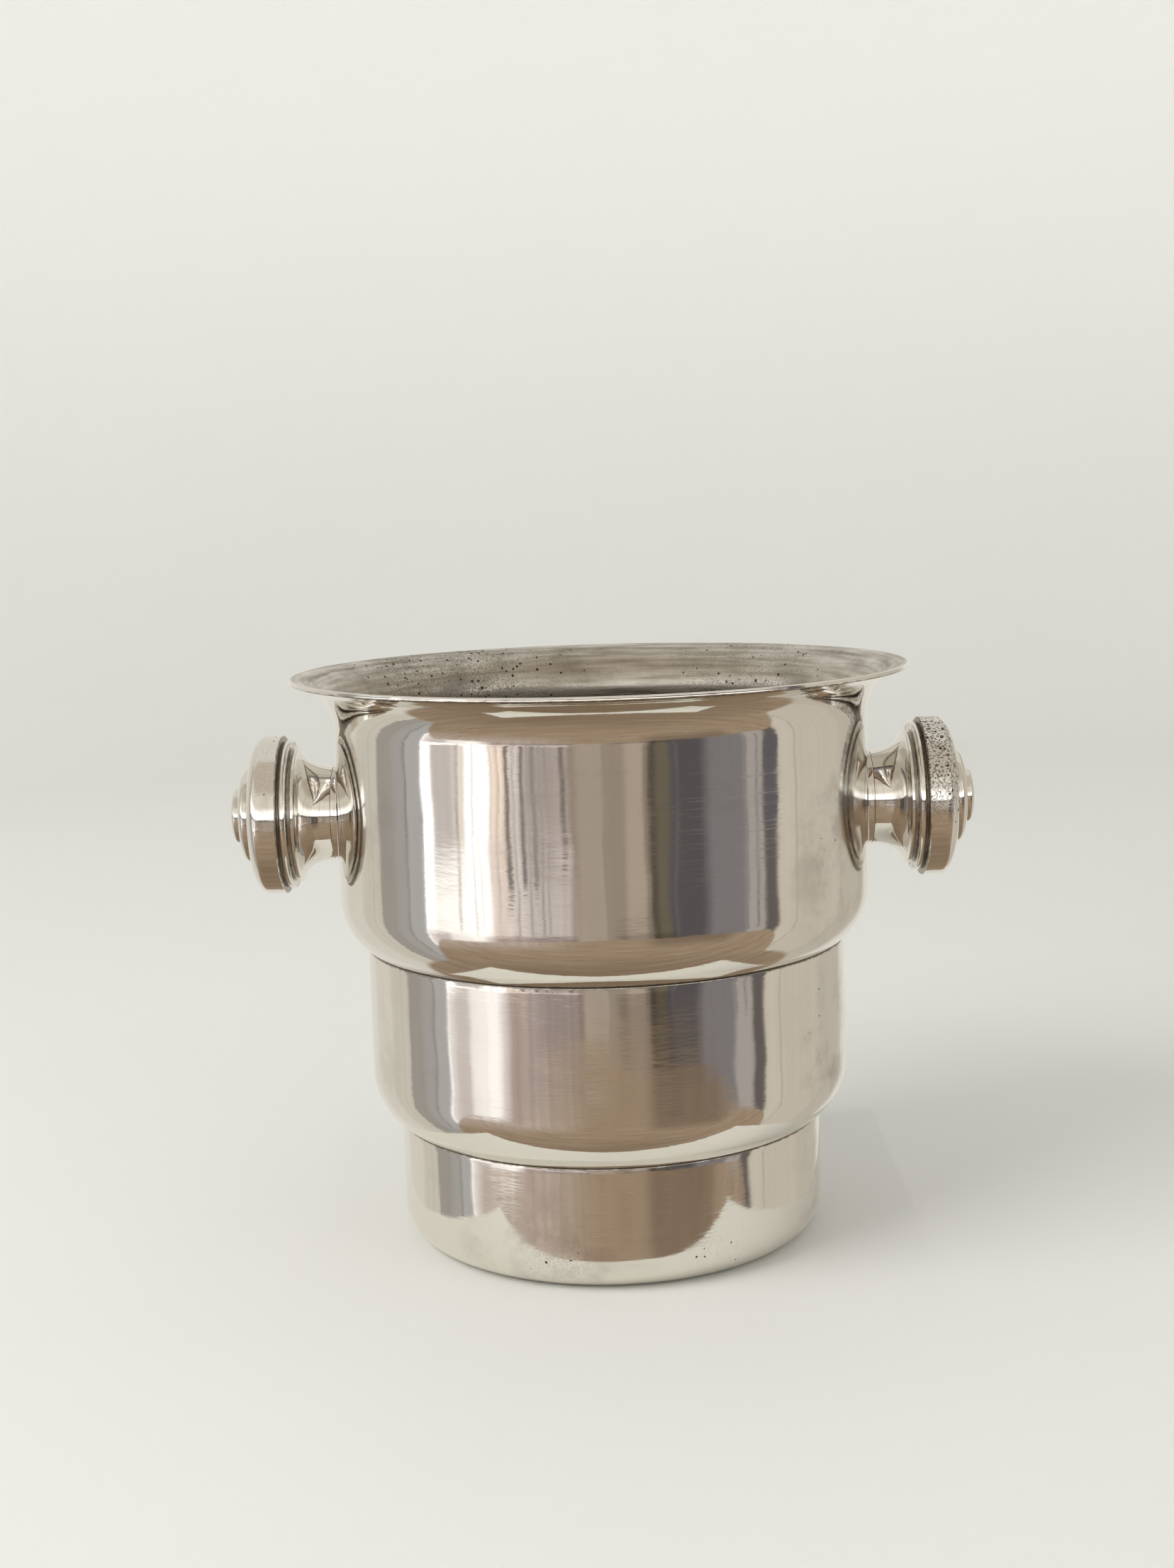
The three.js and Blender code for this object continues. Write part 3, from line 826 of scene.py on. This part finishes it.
def build_handle(side, word):
    top = (side * (DRUM_LOW.x + 2 * MM), -14 * MM, HANDLE_Z + 22 * MM)
    heavy = 0.85 if side > 0 else 0.1
    # dark lines in these grooves, partly tarnish and partly painted shade
    grooves = [
        (side * (BEAD_LOW.x + 0.5 * MM), 0.9 * MM),
        (side * BEAD_HIGH.x, 0.6 * MM),
        (side * STEP_LOW.x, 0.5 * MM),
    ]
    finish = silver(f"silver_{word}_handle", "X", wear=0.5, seam_tarnish_and_shade=grooves)
    band = silver(f"silver_{word}_drum", "X", wear=0.9, pitted=[(top, 34 * MM, heavy)], seam_tarnish_and_shade=grooves[1:])
    for part, maker in HANDLE_MAKERS.items():
        node = f"{word}_handle_{part}"
        put(maker(side, node + "_shell"), node, band if part == "drum" else finish)
    put(stud(side, f"{word}_stud_turned"), f"{word}_handle_stud", BRASS)
    put(saddle_washer(side, f"{word}_washer_turned"), f"{word}_handle_saddle_washer", BRASS)
    put(nut(side, f"{word}_nut_turned"), f"{word}_handle_nut", NUT_METAL)


# ---------------------------------------------------------------- camera, room and lights
CAMERA_PLACE = (0, -0.6955, 0.2512)
CAMERA_ANGLES = (0.1406, -0.0071, -0.0307)  # pitch, yaw and roll
CAMERA_LENS = 47.67
LIGHT_TARGET = Vector((0, 0, 0.1))
FLOOR_FLAT, FLOOR_SWEEP, FLOOR_TOP = 1.3, 0.9, 2.4
FLOOR_SEGMENTS = 96
TABLE_HALF_WIDTH, TABLE_NEAR, TABLE_FAR = 0.105, -0.095, 0.1175
TABLE_HEIGHT = 0.2 * MM
# the white that the backdrop is painted towards higher up: painted light
BACKDROP_PAINTED_LIGHT = srgb(251, 251, 249)


def front_camera():
    """In front of the bucket and a little above its rim, looking slightly down."""
    pitch, yaw, roll = CAMERA_ANGLES
    forward = Vector((math.sin(yaw) * math.cos(pitch), math.cos(yaw) * math.cos(pitch), -math.sin(pitch)))
    right = Vector((math.cos(yaw), -math.sin(yaw), 0))
    up = right.cross(forward)
    tilted = right * math.cos(roll) + up * math.sin(roll)
    upright = up * math.cos(roll) - right * math.sin(roll)
    data = bpy.data.cameras.new("camera")
    data.sensor_fit = "VERTICAL"
    data.sensor_height = 36
    data.lens = CAMERA_LENS
    data.clip_start = 0.01
    camera = bpy.data.objects.new("camera", data)
    turn = Matrix((tilted, upright, -forward)).transposed().to_4x4()
    camera.matrix_world = Matrix.Translation(CAMERA_PLACE) @ turn
    bpy.context.scene.collection.objects.link(camera)
    bpy.context.scene.camera = camera


def soft_light(name, place, size, watts, colour):
    data = bpy.data.lights.new(name, "AREA")
    data.shape = "RECTANGLE"
    data.size, data.size_y = size
    data.energy = watts
    data.color = colour
    lamp = bpy.data.objects.new(name, data)
    lamp.location = place
    aim = LIGHT_TARGET - Vector(place)
    lamp.rotation_euler = aim.to_track_quat("-Z", "Y").to_euler()
    lamp.visible_glossy = False
    lamp.visible_camera = False
    bpy.context.scene.collection.objects.link(lamp)


def pale_paint(name, darkest, lightest):
    """Faintly mottled paint, painted whiter up the backdrop as painted light."""
    made, tree = new_material(name)
    place = add(tree, "ShaderNodeTexCoord").outputs["Object"]
    height = parts_of(tree, place)[2]
    low = mixed(tree, noise(tree, place, 3.0, 2.0), darkest, lightest)
    # painted light: the paint whitens with height
    colour = mixed(tree, fade(tree, height, 0.0, FLOOR_SWEEP), low, BACKDROP_PAINTED_LIGHT)
    surface = add(tree, "ShaderNodeBsdfPrincipled", {"Base Color": colour, "Roughness": 0.6})
    add(tree, "ShaderNodeOutputMaterial", {"Surface": surface.outputs[0]})
    return made


def build_stage():
    """A pale sweep for the camera. Mirrors see a small pale table top instead, and the room beyond it."""
    bend = arc((FLOOR_FLAT, FLOOR_SWEEP), (FLOOR_SWEEP, FLOOR_SWEEP), -90, 0)
    profile = [(0, 0), (FLOOR_FLAT, 0)] + bend + [(FLOOR_FLAT + FLOOR_SWEEP, FLOOR_TOP)]
    floor = smooth(spun_sheet("floor", profile))
    floor.data.materials.append(pale_paint("pale_floor", srgb(231, 230, 226), srgb(234, 234, 231)))
    floor.visible_glossy = False

    def build_table(shape):
        half = TABLE_HALF_WIDTH
        outline = ((-half, TABLE_NEAR), (half, TABLE_NEAR), (half, TABLE_FAR), (-half, TABLE_FAR))
        shape.faces.new([shape.verts.new((x, y, TABLE_HEIGHT)) for x, y in outline])

    table = new_object("table_top", build_table)
    table.data.materials.append(pale_paint("pale_table", srgb(233, 230, 220), srgb(236, 234, 226)))
    table.visible_camera = False
    table.visible_diffuse = False
    table.visible_shadow = False


def spun_sheet(name, profile):
    """An open sheet of revolution."""
    def build(shape):
        count = FLOOR_SEGMENTS
        centre = shape.verts.new((0, 0, profile[0][1]))
        rings = []
        for radius, height in profile[1:]:
            ring = []
            for i in range(count):
                angle = 2 * math.pi * i / count
                ring.append(shape.verts.new((radius * math.cos(angle), radius * math.sin(angle), height)))
            rings.append(ring)
        for i in range(count):
            j = (i + 1) % count
            shape.faces.new((centre, rings[0][i], rings[0][j]))
            for lower, upper in zip(rings, rings[1:]):
                shape.faces.new((lower[i], lower[j], upper[j], upper[i]))

    return new_object(name, build)


# What the walls of the room look like, by direction in degrees from the camera's side, right positive:
# start, end, colour as seen in the silver, and how much brighter than that it is.
LEFT_HALF = [
    (-180, -150, (206, 202, 193), 1.25),
    (-145, -128, (200, 196, 186), 1.25),
    (-125, -110, (192, 187, 176), 1.25),
    (-109, -100, (150, 145, 139), 1.25),
    (-97, -91, (157, 154, 150), 1.25),
    (-90, -82, (166, 164, 162), 1.25),
    (-81, -77, (255, 255, 255), 1.8),
    (-75, -66, (190, 182, 178), 1.25),
    (-62, -60, (224, 213, 204), 1.3),
    (-58, -49, (254, 252, 250), 1.6),
    (-46, -41, (240, 222, 208), 1.3),
    (-38, -34, (222, 212, 206), 1.25),
    (-31, -27, (190, 180, 175), 1.25),
    (-24, -18, (171, 161, 155), 1.25),
    (-12, 0, (158, 146, 133), 1.25),
]
RIGHT_HALF = [
    (0, 8, (144, 132, 119), 1.25),
    (11, 18, (164, 150, 136), 1.25),
    (20, 22, (86, 78, 68), 1.2),
    (23, 26, (104, 96, 82), 1.2),
    (29, 41, (84, 80, 81), 1.2),
    (46, 60, (118, 114, 115), 1.25),
    (63, 70, (158, 152, 147), 1.25),
    (72, 77, (96, 90, 87), 1.2),
    (79, 90, (190, 182, 169), 1.25),
    (91, 118, (186, 178, 166), 1.25),
    (122, 145, (178, 171, 159), 1.25),
    (152, 180, (206, 202, 193), 1.25),
]
# Thin upright lines in the reflected room: direction and half width in degrees, how dark, and how far
# down they reach in degrees.
UPRIGHT_LINES = [
    (-116, 0.4, 0.12, -60),
    (-90.6, 0.35, 0.45, -60),
    (-81.4, 0.3, 0.7, -12),
    (-63, 0.3, 0.6, -12),
    (-55.5, 0.25, 0.6, -13),
    (-52.5, 0.2, 0.5, -12),
    (-47, 0.25, 0.55, -10.5),
    (-44, 0.15, 0.45, -11),
    (-39.8, 1.1, 0.80, -10.9),
    (-36.5, 0.2, 0.6, -13),
    (-33.2, 0.9, 0.78, -10.6),
    (-30.6, 0.2, 0.6, -12.5),
    (-28.2, 0.6, 0.62, -10.8),
    (-25.6, 0.2, 0.6, -12.6),
    (-22.8, 0.2, 0.55, -12),
    (-20.6, 0.15, 0.5, -10.5),
    (-16.2, 0.8, 0.6, -9.7),
    (-12, 0.3, 0.3, -11),
    (18, 0.4, 0.4, -14),
    (30.5, 0.3, -0.5, -14),
    (62, 0.3, 0.4, -14),
    (67.5, 0.35, 0.5, -14),
    (71, 0.25, 0.4, -14),
    (89, 0.3, 0.35, -60),
]


# Where the reflected floor begins, in degrees of rise, and the middle of the far wall.
FLOOR_EDGE_AHEAD, FLOOR_EDGE_BESIDE, FLOOR_EDGE_BEHIND = -15.4, -18.5, -46
FAR_WALL_MIDDLE = 10


def band_colours(tree, turn, bands):
    """A colour ramp over half a turn, from 0 at the first band's start."""
    ramp = add(tree, "ShaderNodeValToRGB", {"Fac": turn})
    elements = ramp.color_ramp.elements
    first = bands[0][0]
    stops = []
    for start, end, colour, gain in bands:
        light = srgb(*colour, gain=gain)
        stops += [((start - first) / 180, light), ((end - first) / 180, light)]
    while len(elements) < len(stops):
        elements.new(1.0)
    for element, (position, light) in zip(elements, stops):
        element.position = position
        element.color = light
    return ramp.outputs["Color"]


def span(tree, value, start, end, soft):
    """1 between two directions in degrees, with soft edges of the given width."""
    rising = fade_degrees(tree, value, start - soft, start)
    falling = fade_degrees(tree, value, end + soft, end)
    return times(tree, rising, falling)


def room_walls(tree, turn, rise, bent, folds):
    """Walls, curtained windows and door frames, by direction."""
    half_turns = maths(tree, "DIVIDE", bent, math.pi)
    left = band_colours(tree, plus(tree, half_turns, 1.0), LEFT_HALF)
    right = band_colours(tree, half_turns, RIGHT_HALF)
    walls = mixed(tree, maths(tree, "GREATER_THAN", bent, 0.0), left, right)

    # sheer curtains at the window: upright folds, paler low down
    shade = mixed(tree, folds, (0.60, 0.57, 0.57, 1), (1.24, 1.22, 1.21, 1))
    walls = darkened(tree, times(tree, span(tree, bent, -44, -14, 8), 0.6), walls, shade)
    faint = mixed(tree, folds, (0.965, 0.965, 0.965, 1), (1.02, 1.02, 1.02, 1))
    walls = mixed(tree, 1.0, walls, faint, "MULTIPLY")
    glare = times(tree, span(tree, bent, -76, -50, 4), fade_degrees(tree, rise, -9.6, -10.8))
    walls = mixed(tree, times(tree, glare, 0.8), walls, srgb(255, 252, 248, 1.5))
    low_glow = times(tree, span(tree, bent, -46, -16, 5), fade_degrees(tree, rise, -8.8, -10.8))
    walls = mixed(tree, times(tree, low_glow, 0.55), walls, srgb(208, 198, 193, 1.25))

    # below the windows the walls are in half shade
    shaded = fade_degrees(tree, rise, -12.0, -14.0)
    clear = maths(tree, "SUBTRACT", 1.0, times(tree, span(tree, bent, -66, -54, 4), 0.6))
    left_shade = times(tree, times(tree, shaded, clear), span(tree, bent, -79, -14, 4))
    walls = darkened(tree, left_shade, walls, (0.52, 0.48, 0.47, 1))
    right_shade = times(tree, shaded, span(tree, bent, 8, 26, 7))
    walls = darkened(tree, right_shade, walls, (0.64, 0.63, 0.64, 1))
    slate = times(tree, span(tree, bent, 71.5, 78, 0.8), fade_degrees(tree, rise, -9.7, -9.4))
    walls = mixed(tree, slate, walls, srgb(92, 88, 92, 1.2))

    jags = vector_of(tree, times(tree, turn, 26.0), 0.0, times(tree, rise, 300.0))
    crooked = plus(tree, bent, times(tree, wobble(tree, jags, 1.0, 2.0), 0.07))
    for degrees, half, dark, reach in UPRIGHT_LINES:
        line = span(tree, crooked, degrees - half, degrees + half, 0.2)
        line = times(tree, line, fade_degrees(tree, rise, reach - 0.6, reach))
        walls = darkened(tree, line, walls, (1 - dark, 1 - dark, 1 - dark, 1))
    return walls


def room_floor(tree, direction, turn, rise, folds):
    """Wood boards running to the front, with soft smears of window light, and a painted shadow where the
    floor is seen steeply below.
    """
    x, y, z = parts_of(tree, direction)
    down = maths(tree, "MAXIMUM", times(tree, z, -1.0), 0.02)
    across = maths(tree, "DIVIDE", times(tree, x, 1.3), down)
    ahead = maths(tree, "DIVIDE", times(tree, y, 9.0), down)
    grain = noise(tree, vector_of(tree, across, ahead, 0.0), 1.0, 5.0, 0.65)
    wood = mixed(tree, fade(tree, grain, 0.3, 0.7), srgb(138, 118, 97, 1.22), srgb(160, 142, 121, 1.22))
    far_floor = fade_degrees(tree, rise, -36, -16)
    sheen = times(tree, span(tree, turn, -70, -38, 34), far_floor)
    sheen = times(tree, sheen, plus(tree, times(tree, folds, 0.30), 0.25))
    wood = mixed(tree, sheen, wood, srgb(206, 194, 188, 1.2))
    gloom = times(tree, span(tree, turn, 24, 50, 10), far_floor)
    wood = mixed(tree, times(tree, gloom, 0.6), wood, srgb(98, 82, 70, 1.2))
    # painted shadow: the floor seen steeply downward is darker
    under = fade_degrees(tree, rise, -30, -75)
    return mixed(tree, times(tree, under, 0.45), wood, srgb(96, 80, 64, 1.2))


def floor_share(tree, turn, rise, ripple):
    """1 where the floor is seen. It starts low under the near side walls and high under the far one."""
    off_middle = maths(tree, "SUBTRACT", turn, math.radians(FAR_WALL_MIDDLE))
    beside = fade_degrees(tree, maths(tree, "ABSOLUTE", off_middle), 30, 62)
    behind = fade_degrees(tree, maths(tree, "ABSOLUTE", turn), 72, 95)
    edge = between_degrees(tree, beside, math.radians(FLOOR_EDGE_AHEAD), FLOOR_EDGE_BESIDE)
    edge = between_degrees(tree, behind, edge, FLOOR_EDGE_BEHIND)
    depth = plus(tree, maths(tree, "SUBTRACT", rise, edge), times(tree, ripple, 0.03))
    return fade(tree, depth, 0.022, -0.022)


def between_degrees(tree, share, start, end):
    """From a start in radians, which may be a socket, to an end in degrees."""
    ends = {"Value": share, "To Min": start, "To Max": math.radians(end)}
    return add(tree, "ShaderNodeMapRange", ends).outputs[0]


def room_top(tree, turn, rise, bent, lower):
    """High windows that only the knobs and the inside see, the ceiling and the pale wall behind."""
    beside = span(tree, turn, -95, 60, 6)
    opening = times(tree, beside, fade_degrees(tree, rise, 0.4, 1.6))
    sill = times(tree, span(tree, rise, -1.6, 0.3, 0.5), beside)
    lower = mixed(tree, times(tree, sill, 0.7), lower, srgb(80, 76, 72))
    lit = fade_degrees(tree, rise, 19, 8)
    glow = mixed(tree, lit, srgb(214, 207, 195, 1.25), srgb(255, 254, 250, 1.75))
    bars = fade(tree, noise(tree, vector_of(tree, times(tree, bent, 9.0), 0.0, 0.0), 1.0, 2.0), 0.40, 0.47)
    glow = mixed(tree, plus(tree, times(tree, bars, 0.45), 0.55), srgb(150, 140, 130, 1.2), glow)
    lower = mixed(tree, opening, lower, glow)
    back = fade_degrees(tree, maths(tree, "ABSOLUTE", turn), 85, 110)
    overhead = mixed(tree, back, srgb(184, 174, 160, 1.2), srgb(206, 202, 193, 1.2))
    return mixed(tree, fade_degrees(tree, rise, 30, 44), lower, overhead)


def build_room():
    """Plain pale light for the floor, and for mirrors a room of plain walls, windows and a wood floor."""
    world = bpy.data.worlds.new("room")
    bpy.context.scene.world = world
    world.use_nodes = True
    tree = world.node_tree
    tree.nodes.clear()
    direction = add(tree, "ShaderNodeTexCoord").outputs["Generated"]
    x, y, z = parts_of(tree, direction)
    turn = maths(tree, "ARCTAN2", x, times(tree, y, -1.0))
    rise = maths(tree, "ARCSINE", z)

    # polished walls aren't quite true, so what they show wavers
    ripple = wobble(tree, direction, 9.0, 3.0)
    kinks = vector_of(tree, times(tree, turn, 7.0), 0.0, times(tree, rise, 120.0))
    bent = sum_of(tree, turn, times(tree, ripple, 0.05), times(tree, wobble(tree, kinks, 1.0, 3.0), 0.075))
    upright = vector_of(tree, times(tree, bent, 30.0), 0.0, times(tree, rise, 2.2))
    folds = fade(tree, noise(tree, upright, 1.0, 5.0, 0.6), 0.34, 0.64)

    walls = room_walls(tree, turn, rise, bent, folds)
    wood = room_floor(tree, direction, turn, rise, folds)
    lower = mixed(tree, floor_share(tree, turn, rise, ripple), walls, wood)
    room = room_top(tree, turn, rise, bent, lower)

    plain = add(tree, "ShaderNodeBackground", {"Color": srgb(245, 246, 245), "Strength": 0.65})
    seen = add(tree, "ShaderNodeBackground", {"Color": room, "Strength": 1.0})
    mirror = add(tree, "ShaderNodeLightPath").outputs["Is Glossy Ray"]
    both = add(tree, "ShaderNodeMixShader", {0: mirror, 1: plain.outputs[0], 2: seen.outputs[0]})
    add(tree, "ShaderNodeOutputWorld", {"Surface": both.outputs[0]})


# ---------------------------------------------------------------- everything
BRASS = dull_metal("dull_brass", srgb(196, 166, 104), srgb(120, 92, 52), 0.26)
NUT_METAL = dull_metal("nut_metal", srgb(186, 182, 172), srgb(120, 112, 100), 0.30)

front_camera()
build_stage()
build_room()
build_body()
build_handle(-1, "left")
build_handle(1, "right")
soft_light("window_light", (-1.5, -1.0, 1.3), (1.4, 1.4), 29, (1.0, 0.995, 0.985))
soft_light("fill_light", (1.4, -1.3, 1.0), (1.2, 1.2), 3, (1.0, 0.99, 0.975))
bpy.context.scene.view_settings.view_transform = "Standard"
